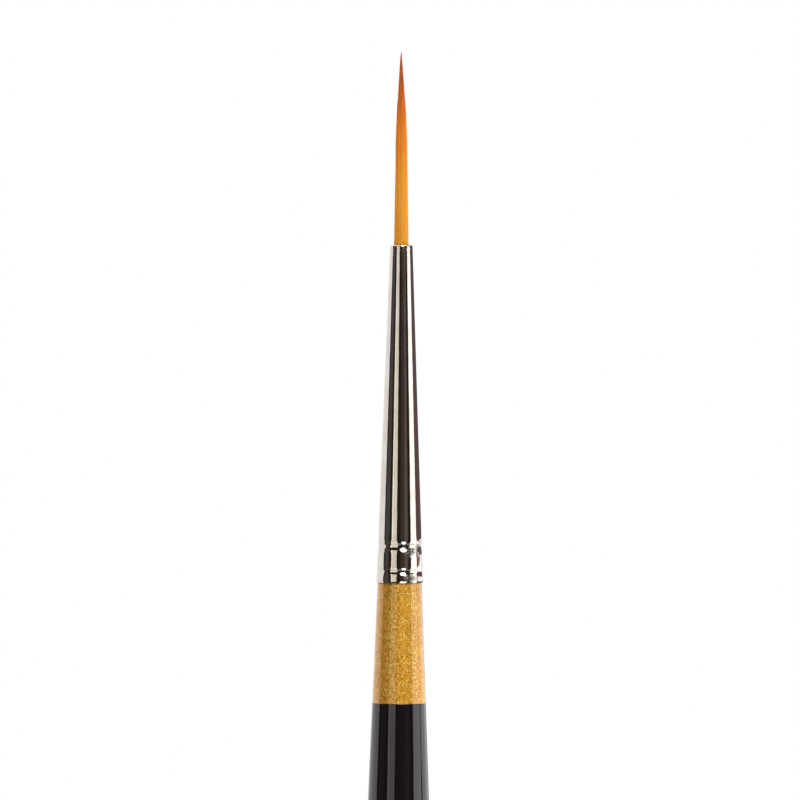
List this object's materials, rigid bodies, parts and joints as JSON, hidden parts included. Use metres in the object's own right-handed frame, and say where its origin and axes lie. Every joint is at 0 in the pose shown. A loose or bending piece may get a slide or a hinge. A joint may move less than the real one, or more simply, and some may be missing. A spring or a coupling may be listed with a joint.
{
  "type": "fine detail brush",
  "caption": "Slim round detail brush: a fine tapered tuft in a crimped metal ferrule on a lacquered wooden handle with a gold band.",
  "frame": {"origin": "on the axis at the widest part of the handle, where the fingers or a stand hold the brush, 104 mm above its rounded end", "axes": "+Z along the brush from the end of the handle to the tip of the hair; +X and +Y across it"},
  "size_m": [0.006, 0.006, 0.1857],
  "materials": {
    "wood": "turned, sealed",
    "black_lacquer": "gloss black lacquer",
    "gold_lacquer": "gold flake lacquer under a clear gloss coat",
    "nickel_plate": "polished nickel plate",
    "glue": "cured resin",
    "thread": "waxed thread",
    "hair": "golden synthetic filament, red brown at the tip"
  },
  "bodies": {
    "handle": {"handle_core": "wood", "black_lacquer": "black_lacquer", "gold_lacquer": "gold_lacquer", "ferrule": "nickel_plate", "handle_glue": "glue", "root_glue": "glue", "binding_thread": "thread", "hair_root": "hair"},
    "hair_length_1": {"hair_length_1": "hair"},
    "hair_length_2": {"hair_length_2": "hair"},
    "hair_length_3": {"hair_length_3": "hair"},
    "hair_length_4": {"hair_length_4": "hair"},
    "hair_length_5": {"hair_length_5": "hair"},
    "hair_length_6": {"hair_length_6": "hair"}
  },
  "joints": [
    {"name": "hair_front_back_bend_1", "type": "hinge", "parent": "handle", "child": "hair_length_1", "pos_m": [0, 0, 0.0662], "axis": [1, 0, 0], "range_deg": [-20, 20], "stiffness_Nm_per_rad": 0.0005},
    {"name": "hair_side_bend_1", "type": "hinge", "parent": "hair_length_1", "child": "hair_length_2", "pos_m": [0, 0, 0.0684], "axis": [0, 1, 0], "range_deg": [-20, 20], "stiffness_Nm_per_rad": 0.0004},
    {"name": "hair_front_back_bend_2", "type": "hinge", "parent": "hair_length_2", "child": "hair_length_3", "pos_m": [0, 0, 0.0706], "axis": [1, 0, 0], "range_deg": [-20, 20]},
    {"name": "hair_side_bend_2", "type": "hinge", "parent": "hair_length_3", "child": "hair_length_4", "pos_m": [0, 0, 0.0728], "axis": [0, 1, 0], "range_deg": [-20, 20]},
    {"name": "hair_front_back_bend_3", "type": "hinge", "parent": "hair_length_4", "child": "hair_length_5", "pos_m": [0, 0, 0.075], "axis": [1, 0, 0], "range_deg": [-20, 20]},
    {"name": "hair_side_bend_3", "type": "hinge", "parent": "hair_length_5", "child": "hair_length_6", "pos_m": [0, 0, 0.0772], "axis": [0, 1, 0], "range_deg": [-20, 20]}
  ],
  "couplings": [
    {"joint": "hair_front_back_bend_2", "follows": "hair_front_back_bend_1", "ratio": 1},
    {"joint": "hair_side_bend_2", "follows": "hair_side_bend_1", "ratio": 1},
    {"joint": "hair_front_back_bend_3", "follows": "hair_front_back_bend_1", "ratio": 1},
    {"joint": "hair_side_bend_3", "follows": "hair_side_bend_1", "ratio": 1}
  ]
}
